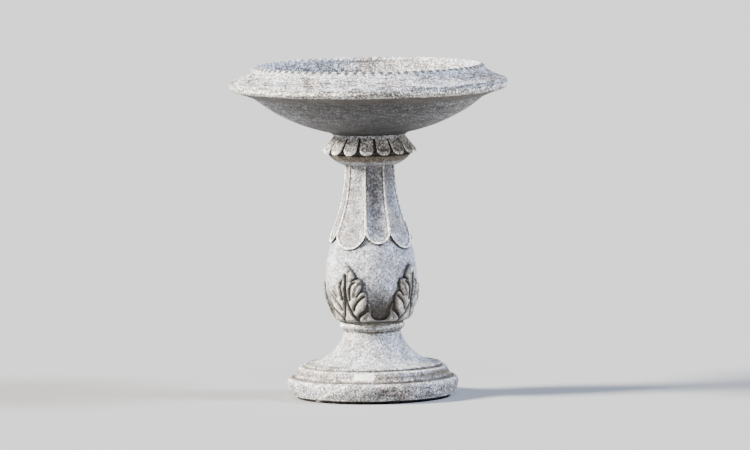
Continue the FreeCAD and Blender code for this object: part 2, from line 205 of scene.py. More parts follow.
def turned(name, corners, material, edges=(), grooves=(), shades=(), step=STEP_MM, steps=256,
           uneven=0.06, seed=1, finish=None):
    """A whole turned section; finish may touch up the mesh before it is roughened."""
    mesh = start_mesh()
    sweep(mesh, outline(corners, step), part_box(name)[0].z, steps, edges, grooves, shades)
    if finish:
        finish(mesh)
    bmesh.ops.recalc_face_normals(mesh, faces=mesh.faces)
    roughen(mesh, uneven, DENT_MM, seed)
    add_piece(mesh, f"{name}_cast", material, name)


# ---------------------------------------------------------------- paint

class Paint:
    """A material under construction, with short ways to add its nodes."""

    def __init__(self, name):
        self.material = bpy.data.materials.new(name)
        self.material.use_nodes = True
        self.tree = self.material.node_tree
        self.shader = self.tree.nodes["Principled BSDF"]
        self.place = self.add("ShaderNodeTexCoord").outputs["Object"]

    def add(self, kind, **settings):
        made = self.tree.nodes.new(kind)
        for key, value in settings.items():
            setattr(made, key, value)
        return made

    def feed(self, socket, value):
        """Links another node's output to a socket, or sets the socket to a plain value."""
        if isinstance(value, bpy.types.NodeSocket):
            self.tree.links.new(value, socket)
        else:
            socket.default_value = value

    def stretched(self, scale):
        made = self.add("ShaderNodeMapping")
        self.feed(made.inputs["Vector"], self.place)
        made.inputs["Scale"].default_value = scale
        return made.outputs["Vector"]

    def noise(self, size_mm, detail, roughness, where=None):
        made = self.add("ShaderNodeTexNoise")
        self.feed(made.inputs["Vector"], where or self.place)
        made.inputs["Scale"].default_value = 1 / (size_mm * MM)
        made.inputs["Detail"].default_value = detail
        made.inputs["Roughness"].default_value = roughness
        return made.outputs["Fac"]

    def between(self, value, low, high):
        """0 below low, 1 above high, and a soft step between them."""
        made = self.add("ShaderNodeMapRange", interpolation_type="SMOOTHSTEP")
        self.feed(made.inputs["Value"], value)
        made.inputs["From Min"].default_value = low
        made.inputs["From Max"].default_value = high
        return made.outputs["Result"]

    def maths(self, kind, *values):
        made = self.add("ShaderNodeMath", operation=kind)
        for socket, value in zip(made.inputs, values):
            self.feed(socket, value)
        return made.outputs[0]

    def blend(self, share, first, second, kind="MIX"):
        made = self.add("ShaderNodeMix", data_type="RGBA", blend_type=kind)
        self.feed(made.inputs["Factor"], share)
        self.feed(made.inputs["A"], first)
        self.feed(made.inputs["B"], second)
        return made.outputs["Result"]

    def scaled(self, colour, factor):
        made = self.add("ShaderNodeVectorMath", operation="SCALE")
        self.feed(made.inputs[0], colour)
        self.feed(made.inputs["Scale"], factor)
        return made.outputs["Vector"]

    def mark(self, name):
        return self.add("ShaderNodeAttribute", attribute_name=name).outputs["Fac"]

    def lay_on(self, colour, tint, mark, ragged, spread, low, high, gain):
        """Lays a tint over a colour where a mark is strong, with an edge that noise makes ragged."""
        level = self.maths("ADD", self.mark(mark), self.maths("MULTIPLY_ADD", ragged, spread, -spread / 2))
        share = self.maths("MULTIPLY", self.between(level, low, high), gain)
        return self.blend(share, colour, tint)


def tone(red, green, blue):
    return (red, green, blue, 1.0)


WASH = tone(0.066, 0.043, 0.017)
STAIN = tone(0.84, 0.72, 0.6)
# Near black, laid on as painted shade in hollows, under parts and between parts, and for the disc's scuffs.
SHADE_AND_SCUFF_DARK = tone(0.018, 0.017, 0.017)
CREAM = tone(0.84, 0.78, 0.68)

# Sizes of the paint's clouds, stains, ragged edges and brush marks.
CLOUD_MM, STAIN_MM, RAGGED_MM, BRUSH_MM = 2.6, 7.0, 0.8, 0.5
STAIN_GAIN, SHADE_GAIN, WORN_GAIN = 0.75, 0.96, 0.9
# Flecks, grain and pits: size in mm, stretch, where the noise starts and is full, how far they brighten.
SPECKS = [(0.42, (1.0, 1.1, 0.9), 0.52, 0.62, 0.85),
          (0.5, (1.0, 1.0, 1.0), 0.40, 0.60, -0.45),
          (0.36, (1.1, 0.9, 1.0), 0.57, 0.66, -0.7)]
BAND_MM, BAND_STRETCH = 0.5, (0.12, 0.12, 1.0)
DARKEST_SPECK = 0.12
# Wear past which nothing but bare resin shows.
BARE_WEAR, CHIP_WEAR, BARE_SOFTNESS = 1.0, 1.4, 0.1
# Fine grain over coarser lumps: size in mm, detail, roughness of the noise, strength, depth in mm.
BUMPS = [(0.7, 4, 0.7, 1.0, 0.3), (1.7, 3, 0.6, 0.7, 0.4)]
SHEEN_MM, SMOOTHEST, ROUGHEST = 1.8, 0.42, 0.78


def mottled(paint, pale, deep):
    """Clouds of pale and deep stone colour, stained brown here and there."""
    cloud = paint.between(paint.noise(CLOUD_MM, 4, 0.65), 0.38, 0.62)
    colour = paint.blend(cloud, deep, pale)
    stain = paint.between(paint.noise(STAIN_MM, 3, 0.6), 0.5, 0.66)
    return paint.blend(paint.maths("MULTIPLY", stain, STAIN_GAIN), colour, STAIN, "MULTIPLY")


def weathered(paint, colour, wash_gain):
    """The colour with painted shade in its hollows, brown wash in its grooves and a pale dry brush on its
    edges.
    """
    ragged = paint.noise(RAGGED_MM, 4, 0.8)
    colour = paint.lay_on(colour, SHADE_AND_SCUFF_DARK, "shade", ragged, spread=0.7, low=0.0, high=0.95, gain=SHADE_GAIN)
    colour = paint.lay_on(colour, WASH, "grime", ragged, spread=1.0, low=0.2, high=0.9, gain=wash_gain)
    brush = paint.noise(BRUSH_MM, 3, 0.7)
    return paint.lay_on(colour, CREAM, "worn", brush, spread=2.2, low=0.35, high=0.75, gain=WORN_GAIN)


def specks(paint, speckle, streaks):
    """How many times as bright as the colour under it each speck of the paint is."""
    level = 1.0
    for size_mm, stretch, low, high, gain in SPECKS:
        spots = paint.between(paint.noise(size_mm, 1, 0.5, paint.stretched(stretch)), low, high)
        level = paint.maths("MULTIPLY_ADD", spots, gain * speckle, level)
    if streaks:
        bands = paint.between(paint.noise(BAND_MM, 2, 0.6, paint.stretched(BAND_STRETCH)), 0.5, 0.6)
        level = paint.maths("MULTIPLY_ADD", bands, -streaks, level)
    return paint.maths("MAXIMUM", level, DARKEST_SPECK)


def cast_surface(paint):
    """A grainy, lumpy surface that is smoother in some patches than in others."""
    rough = paint.add("ShaderNodeMapRange")
    paint.feed(rough.inputs["Value"], paint.noise(SHEEN_MM, 3, 0.6))
    rough.inputs["To Min"].default_value = SMOOTHEST
    rough.inputs["To Max"].default_value = ROUGHEST
    paint.feed(paint.shader.inputs["Roughness"], rough.outputs["Result"])
    target = paint.shader.inputs["Normal"]
    for size_mm, detail, roughness, strength, depth_mm in reversed(BUMPS):
        bump = paint.add("ShaderNodeBump")
        bump.inputs["Strength"].default_value = strength
        bump.inputs["Distance"].default_value = depth_mm * MM
        paint.feed(bump.inputs["Height"], paint.noise(size_mm, detail, roughness))
        paint.feed(target, bump.outputs["Normal"])
        target = bump.inputs["Normal"]


def stone_paint(name, pale, deep, speckle, wash_gain=0.9, streaks=0.0):
    """Stone paint on cast resin, with specks over all but the bare resin."""
    paint = Paint(name)
    colour = weathered(paint, mottled(paint, pale, deep), wash_gain)
    bare = paint.between(paint.mark("worn"), BARE_WEAR, BARE_WEAR + BARE_SOFTNESS)
    colour = paint.blend(bare, paint.scaled(colour, specks(paint, speckle, streaks)), CREAM)
    paint.feed(paint.shader.inputs["Base Color"], colour)
    cast_surface(paint)
    return paint.material


def pin_steel():
    """Plain drawn rod, with fine lines along it."""
    paint = Paint("drawn_steel")
    lines = paint.noise(0.15, 3, 0.6, paint.stretched((1.0, 1.0, 0.05)))
    colour = paint.blend(lines, tone(0.42, 0.42, 0.43), tone(0.6, 0.6, 0.61))
    paint.feed(paint.shader.inputs["Base Color"], colour)
    paint.shader.inputs["Metallic"].default_value = 1.0
    paint.feed(paint.shader.inputs["Roughness"], paint.between(lines, -0.6, 2.4))
    return paint.material


base_paint = stone_paint("plinth_stone_paint", tone(0.50, 0.49, 0.50), tone(0.25, 0.24, 0.235), 1.2,
                         streaks=0.3)
foot_paint = stone_paint("foot_stone_paint", tone(0.50, 0.50, 0.515), tone(0.28, 0.28, 0.285), 1.15)
urn_paint = stone_paint("urn_stone_paint", tone(0.53, 0.53, 0.57), tone(0.29, 0.29, 0.31), 0.9)
leaf_paint = stone_paint("leaf_stone_paint", tone(0.32, 0.30, 0.27), tone(0.165, 0.15, 0.13), 0.7)
petal_paint = stone_paint("petal_stone_paint", tone(0.45, 0.445, 0.46), tone(0.24, 0.235, 0.25), 1.0)
# The collar's paint is paler than the rest: painted light, against the basin's shadow on it.
collar_paint_painted_light = stone_paint("collar_stone_paint_painted_light", tone(0.76, 0.72, 0.68), tone(0.42, 0.39, 0.37), 1.15)
basin_paint = stone_paint("basin_stone_paint", tone(0.51, 0.50, 0.51), tone(0.25, 0.24, 0.24), 1.35,
                          wash_gain=0.72, streaks=0.6)
rim_paint = stone_paint("rim_stone_paint", tone(0.52, 0.52, 0.54), tone(0.30, 0.30, 0.32), 1.2)


# ---------------------------------------------------------------- turned sections

# A pale rub that slants across the side of the disc.
RUB_DEGREES, RUB_HALF_DEGREES, RUB_LEVEL_MM, RUB_SLANT, RUB_WEAR = -34.0, 3.5, 2.0, 7.0, 0.8
# Darker scuffs on it: degrees, half width, height in mm, half height in mm, strength.
SCUFFS = [(4, 17, 2.5, 1.2, 0.34), (-52, 14, 2.2, 1.2, 0.2)]
# The flake of bare resin on the moulding, and the grime left and right of it, in half widths of the flake.
CHIP_DEGREES, CHIP_HALF_DEGREES, CHIP_MIDDLE_MM, CHIP_HALF_MM = -7.0, 9.0, 6.1, 0.8
LEFT_GRIME_AT, LEFT_GRIME_REACH, LEFT_GRIME = -3.2, 1.9, 0.56
RIGHT_GRIME_FROM, RIGHT_GRIME_FULL, RIGHT_GRIME_END, RIGHT_GRIME = 3.0, 6.0, 10.0, 0.34
CHIP_SQUARENESS = 6


def degrees_round(vert):
    """Where a point is round the axis."""
    return math.degrees(math.atan2(vert.co.y, vert.co.x)) + 90


def scuff(mesh):
    """Rubs and scuffs the side of the disc."""
    worn, grime, shade = layers(mesh)
    for vert in mesh.verts:
        turn, height = degrees_round(vert), vert.co.z / MM
        rub = bell(turn - RUB_DEGREES - RUB_SLANT * (height - RUB_LEVEL_MM), RUB_HALF_DEGREES)
        vert[worn] = max(vert[worn], RUB_WEAR * rub)
        for middle, half_width, level, half_height, strength in SCUFFS:
            vert[shade] += strength * bell(turn - middle, half_width) * bell(height - level, half_height)


def chip(mesh):
    """Bares a flake of cream resin on the front of the moulding, with grime on both sides of it."""
    worn, grime, shade = layers(mesh)
    for vert in mesh.verts:
        across = (degrees_round(vert) - CHIP_DEGREES) / CHIP_HALF_DEGREES
        rise = (vert.co.z / MM - CHIP_MIDDLE_MM) / CHIP_HALF_MM
        bare = max(0.0, 1 - max(abs(across), abs(rise)) ** CHIP_SQUARENESS)
        left = LEFT_GRIME * bell(across - LEFT_GRIME_AT, LEFT_GRIME_REACH)
        vert[grime] = max(vert[grime], left) * (1 - bare)
        if across < RIGHT_GRIME_END:
            vert[grime] += RIGHT_GRIME * ramp(across, RIGHT_GRIME_FROM, RIGHT_GRIME_FULL)
        vert[worn] = max(vert[worn], CHIP_WEAR * bare)


# The dark paint at the undercut of the disc's foot is a painted contact shadow.
turned("plinth_disc",
       [(0, 0), (17.3, 0), (17.5, 0.5), (18.7, 0.85, 0.14), (19.55, 3.4, 0.15), (19.15, 4.4, 0.1),
        (18.6, 4.6), (0, 4.6)],
       base_paint, edges=[(19.3, 4.3, 0.35, 0.6), (18.75, 0.85, 0.22, 0.8)],
       grooves=[(18.3, 4.6, 0.4, 0.8)], shades=[(17.5, 0.2, 0.7, 1.0)], step=0.2, seed=2, finish=scuff)
turned("plinth_moulding",
       [(0, 0), (18.1, 0), (18.05, 0.25, -0.1), (17.0, 2.1, 0.08), (16.6, 2.4), (15.75, 2.6),
        (15.7, 3.0, 0.03), (15.4, 3.2), (13.4, 3.3), (0, 3.3)],
       base_paint, edges=[(16.75, 2.28, 0.3, 0.75), (15.65, 3.05, 0.18, 0.5)],
       grooves=[(18.0, 0.1, 0.55, 0.9), (17.3, 1.3, 0.7, 0.62), (15.75, 2.6, 0.3, 0.95)], step=0.15, seed=3,
       finish=chip)
turned("foot", [(0, 0), (13.4, 0, -1.15), (6.55, 6.8), (6.45, 7.5), (0, 7.5)],
       foot_paint, grooves=[(6.5, 7.4, 0.5, 0.8)], seed=4)
turned("waist_ring", [(0, 0), (6.75, 0), (6.9, 0.2, 0.5), (7.0, 1.75, 0.1), (6.8, 1.9), (0, 1.9)],
       foot_paint, edges=[(7.35, 1.5, 0.5, 0.8)], grooves=[(7.2, 0.3, 0.6, 0.62)], step=0.12,
       seed=5)
# The ovolo is painted dark under the short petals' ends and at its foot, as painted shade.
turned("ovolo_ring", [(0, 0), (6.1, 0, 0.25), (9.35, 2.25), (9.4, 2.5), (0, 2.5)],
       petal_paint, grooves=[(9.4, 2.2, 2.1, 1.2)],
       shades=[(9.5, 2.5, 0.4, 0.7), (6.3, 0.0, 1.3, 0.6)], step=0.2, seed=7)


# ---------------------------------------------------------------- basin

BASIN_STEPS, BASIN_STEP_MM = 320, 0.35
UNDERSIDE_FROM_MM, UNDERSIDE_TOP_MM = 8.5, 11.0
WALL_RISE_MM, WALL_SLOPE, WALL_CURVE = 2.3, 0.12, 0.0225
# The underside is painted dark as shade: darker in from one radius and out from another, each over a width,
# and darker in front and behind than at the sides, where more light falls.
NEAR_STEM_MM, NEAR_RIM_MM = (20.0, 12.0), (26.0, 4.0)
UNDERSIDE_PAINTED_SHADE, NEAR_PAINTED_SHADE, FRONT_PAINTED_SHADE = 0.24, 0.5, 0.58


def is_underside(radius, rise):
    """Whether a point of the basin, in mm, is below a curve that runs inside the basin's wall."""
    out = radius - UNDERSIDE_FROM_MM
    curve = WALL_RISE_MM + WALL_SLOPE * out + WALL_CURVE * out ** 2
    return out > 0 and rise < min(UNDERSIDE_TOP_MM, curve)


basin_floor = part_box("basin")[0].z
basin_outline = outline([
    (0, 0), (8.0, 0, -0.25), (9.6, 1.2, 1.1), (26.2, 9.05, -0.1), (30.7, 10.7, 0.3), (31.65, 12.0, 0.22),
    (31.2, 13.1, -0.22), (26.9, 15.15), (24.8, 15.25), (24.4, 14.6), (23.6, 12.5, 1.3), (0.0, 7.0)],
    BASIN_STEP_MM)
basin = start_mesh()
sweep(basin, basin_outline, basin_floor, BASIN_STEPS,
      edges=[(31.1, 10.9, 0.55, 0.75), (31.6, 11.8, 0.6, 0.85), (31.4, 12.8, 0.4, 0.4),
             (27.3, 14.9, 0.8, 0.35)],
      grooves=[(29.9, 10.3, 0.9, 1.0), (28.4, 9.8, 1.0, 0.9), (26.8, 9.2, 1.2, 0.6), (24.0, 8.0, 2.5, 0.3),
               (31.2, 13.1, 0.9, 0.36)])
worn, grime, shade = layers(basin)
for vert in basin.verts:
    radius, rise = vert.co.xy.length / MM, (vert.co.z - basin_floor) / MM
    if is_underside(radius, rise):
        near_stem = max(0.0, (NEAR_STEM_MM[0] - radius) / NEAR_STEM_MM[1])
        near_rim = max(0.0, (radius - NEAR_RIM_MM[0]) / NEAR_RIM_MM[1])
        vert[shade] = UNDERSIDE_PAINTED_SHADE + NEAR_PAINTED_SHADE * (near_stem + near_rim)
        vert[shade] += FRONT_PAINTED_SHADE * abs(vert.co.y) / vert.co.xy.length
roughen(basin, depth_mm=0.07, size_mm=6.0, seed=8)
add_piece(basin, "basin_cast", basin_paint, "basin")


# ---------------------------------------------------------------- beaded rim

BEADS, STEPS_PER_BEAD = 84, 8
# Between two beads the crest dips, and its inner side dips and draws back further.
DIP_MM, INNER_DIP_MM, DRAW_BACK_MM = 0.07, 0.06, 0.25
CREST_MM, INNER_MM, OUTER_MM = 25.5, 25.0, 25.8
CREST_FROM_MM, CREST_FULL_MM, GAP_FROM_MM, GAP_FULL_MM = 0.15, 0.75, 0.6, 0.8
BEAD_FULLNESS, BEAD_GAP = 2.4, 1.03
BEAD_WEAR, GAP_PAINTED_SHADE, INNER_GAP_PAINTED_SHADE = 0.4, 3.0, 0.1

bead_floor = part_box("rim_beading")[0].z
beading = start_mesh()
sweep(beading, outline([(24.75, -0.3), (26.95, -0.3), (26.6, 0.25, 0.2), (25.75, 1.12, 0.16),
                        (24.85, 0.75, 0.1), (24.75, 0.2), (24.75, -0.3)], 0.16),
      bead_floor, BEADS * STEPS_PER_BEAD)
worn, grime, shade = layers(beading)
for vert in beading.verts:
    radius, rise = vert.co.xy.length / MM, (vert.co.z - bead_floor) / MM
    apart = abs(math.sin(BEADS / 2 * math.atan2(vert.co.y, vert.co.x)))
    dome = math.sqrt(max(0.0, 1 - (apart / BEAD_GAP) ** BEAD_FULLNESS))
    crest = ramp(rise, CREST_FROM_MM, CREST_FULL_MM)
    inner = ramp(radius, CREST_MM, INNER_MM)
    slide = DRAW_BACK_MM * (1 - dome) * crest * inner
    vert.co.x *= (radius + slide) / radius
    vert.co.y *= (radius + slide) / radius
    vert.co.z -= (DIP_MM + INNER_DIP_MM * inner) * (1 - dome) * crest * MM
    # The gaps between beads near the crest are painted dark as shade, mostly on their outer side.
    outer = INNER_GAP_PAINTED_SHADE + (1 - INNER_GAP_PAINTED_SHADE) * ramp(radius, CREST_MM, OUTER_MM)
    vert[worn] = BEAD_WEAR * dome * crest
    vert[shade] = min(1.0, GAP_PAINTED_SHADE * (1 - dome) * ramp(rise, GAP_FROM_MM, GAP_FULL_MM) * outer)
roughen(beading, depth_mm=0.06, size_mm=1.3, seed=9)
add_piece(beading, "rim_beading_cast", rim_paint, "rim_beading")


# ---------------------------------------------------------------- long hanging petals

URN_CORNERS = [(7.35, 0, 0.66), (10.4, 8.7, 0.85), (7.69, 21.3)]
urn_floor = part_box("urn")[0].z / MM
urn_radii, urn_heights = np.array(outline(URN_CORNERS, 0.1)).T
urn_heights = urn_heights + urn_floor

# Four broad petals and four narrow ones hang in turn: middles and half widths in degrees.
PETAL_PAIRS = 4
BROAD_MIDDLE, NARROW_MIDDLE = -33.5, 11.5
BROAD_HALF, NARROW_HALF, TOP_HALF = 26.5, 18.5, 22.5
BROAD_TIP_MM, NARROW_TIP_MM, CUSP_MM = 34.4, 35.7, 38.0
stem_radii, stem_heights = np.array(outline([(9.75, 34.2, 0.25), (8.3, 39.5, -0.65), (5.75, 53.1)], 0.2)).T
stem_top = stem_heights[-1]
# Width of a petal's raised rim, and depth of the flute inside it, at heights up the stem.
RIM_AT_MM = ([34.0, 36.0, 38.0, 41.0, 45.0, 53.0], [0.36, 0.36, 0.30, 0.22, 0.16, 0.14])
FLUTE_AT_MM = ([34.0, 38.0, 43.0, 53.0], [0.7, 0.75, 0.6, 0.4])
RIM_STEP_MM, RIM_ROUND_MM, RIM_SLOPE_MM = 0.20, 0.1, 0.16
URN_COVER_MM = 0.14
# How square a petal's lower edge is, how many points of it are measured, and how far the flute's sides slope.
HEM_SQUARENESS, HEM_FULLNESS, HEM_SAMPLES, SIDE_SLOPE, HEM_SLOPE = 2.3, 0.8, 81, 0.8, 0.7
PETAL_ROWS, PETAL_COLUMNS = 120, 48
COLUMNS_ROUND = 2 * PETAL_PAIRS * PETAL_COLUMNS
# The plain tube is a metre tall, so a point's height, in metres, is its share of the way up its petal.
TUBE_RADIUS_MM, TUBE_HEIGHT_MM = 10.0, 1000.0
# Columns crowd towards a petal's sides and rows towards its lower edge.
COLUMN_CROWDING, ROW_CROWDING = 0.32, 1.5
# A painted shadow line runs just inside the rim, and the flutes are painted dark as shade, the narrow ones
# darker.
LINE_OFF_MM, LINE_REACH_MM, LINE_PAINTED_SHADOW, BROAD_PAINTED_SHADE, NARROW_PAINTED_SHADE = 0.14, 0.2, 0.75, 0.4, 0.52
# The sheath closes inside at this height; its open edges lie below and above the halfway height.
CLOSING_MM, CLOSING_RADIUS_MM, POLE_RADIUS_MM, HALFWAY_MM = 38.4, 7.0, 1e-4, 45.0


def petal_hem(across, tip):
    """Height of a petal's lower edge at a share of its half width."""
    drop = np.clip(1 - np.abs(across) ** HEM_SQUARENESS, 0, 1) ** HEM_FULLNESS
    return CUSP_MM - (CUSP_MM - tip) * drop


def hem_above(degrees):
    """Height of the petals' lower edge above a place on the urn."""
    turn = (degrees - BROAD_MIDDLE + 45) % 90 - 45
    broad = abs(turn) < BROAD_HALF
    across = turn / BROAD_HALF if broad else (45 - abs(turn)) / NARROW_HALF
    return float(petal_hem(across, BROAD_TIP_MM if broad else NARROW_TIP_MM))


def petal_surface(tube):
    """Where each point of the plain tube goes, in metres, how worn it is there, and how dark it is painted
    there as shade.
    """
    share = np.round(np.arctan2(tube[:, 1], tube[:, 0]) / FULL_TURN * COLUMNS_ROUND)
    petal, column = np.divmod(share % COLUMNS_ROUND, PETAL_COLUMNS)
    across = 2 * column / PETAL_COLUMNS - 1
    across = across * (1 + COLUMN_CROWDING - COLUMN_CROWDING * across ** 2)
    down = 1 - tube[:, 2].clip(0, 1) ** ROW_CROWDING
    broad = petal % 2 == 0
    middle = np.where(broad, BROAD_MIDDLE, NARROW_MIDDLE) + 90 * (petal // 2)
    tip = np.where(broad, BROAD_TIP_MM, NARROW_TIP_MM)
    hem = petal_hem(across, tip)
    height = stem_top - (stem_top - hem) * down
    fall = np.clip((stem_top - height) / (stem_top - CUSP_MM), 0, 1)
    half = TOP_HALF + (np.where(broad, BROAD_HALF, NARROW_HALF) - TOP_HALF) * fall ** 2
    radius = np.interp(height, stem_heights, stem_radii)
    reach = np.radians(half) * radius
    from_side = (1 - np.abs(across)) * reach
    away = from_side.copy()
    for edge_share in np.linspace(-1, 1, HEM_SAMPLES):
        away = np.minimum(away, np.hypot((edge_share - across) * reach, petal_hem(edge_share, tip) - height))
    rim = np.interp(height, *RIM_AT_MM)
    inside = np.clip((away - rim) / RIM_SLOPE_MM, 0, 1)
    beside = 1 - np.clip((from_side - rim) / (SIDE_SLOPE * reach), 0, 1)
    above = 1 - np.clip((height - hem - rim) / (HEM_SLOPE * reach), 0, 1)
    hollow = (1 - beside ** 2) * (1 - above ** 2)
    sink = RIM_STEP_MM * inside + RIM_ROUND_MM * (away / rim).clip(0, 1)
    sink += np.interp(height, *FLUTE_AT_MM) * hollow
    radius = np.maximum(radius - sink, np.interp(height, urn_heights, urn_radii + URN_COVER_MM, right=0.0))
    angle = FRONT + np.radians(middle + across * half)
    places = np.stack([radius * np.cos(angle), radius * np.sin(angle), height], 1) * MM
    line = LINE_PAINTED_SHADOW * bell(away - rim - LINE_OFF_MM, LINE_REACH_MM)
    painted_shade = np.maximum(line, np.where(broad, BROAD_PAINTED_SHADE, NARROW_PAINTED_SHADE) * inside * hollow)
    return places, 1 - inside, painted_shade


def draw_in(mesh, edges, new_radius, new_height, wear, painted_shade):
    """Extends an open edge loop to a new ring, whose radius and height in mm follow from the old ones."""
    worn, grime, shade = layers(mesh)
    made = bmesh.ops.extrude_edge_only(mesh, edges=edges)["geom"]
    for vert in made:
        if isinstance(vert, bmesh.types.BMVert):
            flat = vert.co.xy.length
            scale = new_radius(flat / MM) * MM / flat
            vert.co = Vector((vert.co.x * scale, vert.co.y * scale, new_height(vert.co.z / MM) * MM))
            vert[worn], vert[shade] = wear, painted_shade
    return [item for item in made if isinstance(item, bmesh.types.BMEdge) and item.is_boundary]


sheath = start_mesh()
tube_line = [(TUBE_RADIUS_MM, TUBE_HEIGHT_MM * (1 - row / PETAL_ROWS)) for row in range(PETAL_ROWS + 1)]
sweep(sheath, tube_line, 0.0, COLUMNS_ROUND)
worn, grime, shade = layers(sheath)
surface = petal_surface(np.array([vert.co for vert in sheath.verts]))
for vert, place, wear, painted_shade in zip(sheath.verts, *surface):
    vert.co = place
    vert[worn], vert[shade] = wear, painted_shade
rims = [edge for edge in sheath.edges if edge.is_boundary]
hem_edges = [edge for edge in rims if edge.verts[0].co.z < HALFWAY_MM * MM]
crown_edges = [edge for edge in rims if edge.verts[0].co.z > HALFWAY_MM * MM]
# The lip's edge is dry-brushed pale, and the inside under the petals is painted near black, as the shadow
# under them.
lip = draw_in(sheath, hem_edges, lambda r: r - 0.1, lambda z: z - 0.06, wear=0.9, painted_shade=0.0)
lip = draw_in(sheath, lip, lambda r: r - 0.34, lambda z: z + 0.08, wear=0.0, painted_shade=0.9)
lip = draw_in(sheath, lip, lambda r: CLOSING_RADIUS_MM, lambda z: CLOSING_MM, wear=0.0, painted_shade=1.0)
draw_in(sheath, lip, lambda r: POLE_RADIUS_MM, lambda z: CLOSING_MM, wear=0.0, painted_shade=1.0)
draw_in(sheath, crown_edges, lambda r: POLE_RADIUS_MM, lambda z: z, wear=0.0, painted_shade=0.0)
bmesh.ops.remove_doubles(sheath, verts=sheath.verts, dist=WELD)
bmesh.ops.recalc_face_normals(sheath, faces=sheath.faces)
roughen(sheath, depth_mm=0.03, size_mm=2.5, seed=10)
add_piece(sheath, "petal_sheath_cast", petal_paint, "petal_sheath", sharp_degrees=50)


# ---------------------------------------------------------------- collar of short petals

COLLAR_PETALS, COLLAR_FIRST_DEGREES = 16, -3.8
COLLAR_LENGTH_MM, COLLAR_THICK_MM, COLLAR_HOLLOW_MM = 3.9, 0.6, 0.22
COLLAR_HALF_MM, COLLAR_WIDENING = 1.3, 0.075
COLLAR_TOP_RADIUS_MM, COLLAR_FLARE, COLLAR_CURL = 8.15, 0.56, 0.0225
COLLAR_RISE_MM, COLLAR_STEEPNESS, COLLAR_STEPS = 0.15, 0.8, 160
# A short petal is cut back at its corners, sharp at its sides, and tucked in at its tip.
CORNER_CUT, SIDE_SHARPNESS, TIP_FROM, TUCK_FROM, TUCK_MM = 0.25, 9, 0.86, 0.85, 0.25
COLLAR_WEAR, COLLAR_GRIME, TIP_GRIME, TIP_GRIME_REACH = 0.9, 0.03, 0.6, 0.28


def bend_collar_petal(verts, worn, grime):
    """Bends a flat patch to a short hollow petal, on the x axis, that flares as it falls."""
    for vert in verts:
        across, down = vert.co.x, (1 - vert.co.y) / 2
        fall = down * COLLAR_LENGTH_MM * (1 - CORNER_CUT * abs(across) ** 3)
        edge = max(abs(across) ** SIDE_SHARPNESS, ramp(down, TIP_FROM, 1.0) ** 2)
        hollow = COLLAR_HOLLOW_MM * (1 - across * across) * min(1.0, 4 * (1 - down))
        radius = COLLAR_TOP_RADIUS_MM + COLLAR_FLARE * fall + COLLAR_CURL * fall * fall - hollow
        height = collar_top + COLLAR_RISE_MM - COLLAR_STEEPNESS * fall - TUCK_MM * max(0.0, down - TUCK_FROM)
        vert.co = Vector((radius, across * (COLLAR_HALF_MM + COLLAR_WIDENING * fall), height)) * MM
        vert[worn] = COLLAR_WEAR * min(1.0, edge)
        vert[grime] = (TIP_GRIME * bell(1 - down, TIP_GRIME_REACH) + COLLAR_GRIME) * (1 - edge)


collar_floor, collar_top = (corner.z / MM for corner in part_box("petal_collar"))
collar = start_mesh()
sweep(collar, outline([(0, 0), (8.9, 0), (9.2, 0.45, 0.1), (7.5, 3.9), (0, 3.9)]), collar_floor * MM,
      COLLAR_STEPS)
worn, grime, shade = layers(collar)
# The collar's core, which shows in the slots between the short petals, is painted near black as shade.
for vert in collar.verts:
    vert[shade] = 1.0
for index in range(COLLAR_PETALS):
    made = bmesh.ops.create_grid(collar, x_segments=16, y_segments=18, size=1.0)["verts"]
    bend_collar_petal(made, worn, grime)
    faces = list(dict.fromkeys(face for vert in made for face in vert.link_faces))
    thick = bmesh.ops.solidify(collar, geom=faces, thickness=COLLAR_THICK_MM * MM)
    extra = {vert for item in thick["geom"] if isinstance(item, bmesh.types.BMFace) for vert in item.verts}
    turn = FRONT + math.radians(COLLAR_FIRST_DEGREES + 360 * index / COLLAR_PETALS)
    bmesh.ops.transform(collar, matrix=Matrix.Rotation(turn, 4, "Z"), verts=list(set(made) | extra))
add_piece(collar, "petal_collar_cast", collar_paint_painted_light, "petal_collar", sharp_degrees=60)


# ---------------------------------------------------------------- leaves on the urn

# One half of a leaf's edge, from its tip down, as (degrees from the leaf's middle, height).
LEAF_EDGE = [
    (-1.0, 30.7), (1.5, 30.5), (4.5, 29.9), (7.8, 29.1), (9.8, 28.2), (8.6, 27.75), (5.6, 27.3), (7.5, 27.5),
    (12.0, 27.75), (16.6, 27.6), (18.3, 26.9), (17.8, 25.7), (16.2, 24.9), (12.0, 23.7), (14.5, 24.35),
    (18.0, 24.85), (21.5, 24.75), (24.0, 24.0), (24.2, 22.9), (23.2, 21.7), (21.0, 20.7), (16.5, 20.0),
    (12.5, 19.2), (17.5, 19.8), (22.5, 20.55), (24.6, 21.4), (25.2, 22.3), (27.6, 22.0), (29.2, 21.0),
    (28.8, 20.0), (29.2, 19.2), (31.5, 18.65), (36.0, 18.3), (43.0, 18.2)]
LEAF_FOOT = [(43.0, 17.75), (-1.0, 17.6), (-6.0, 17.6), (-6.0, 30.2)]
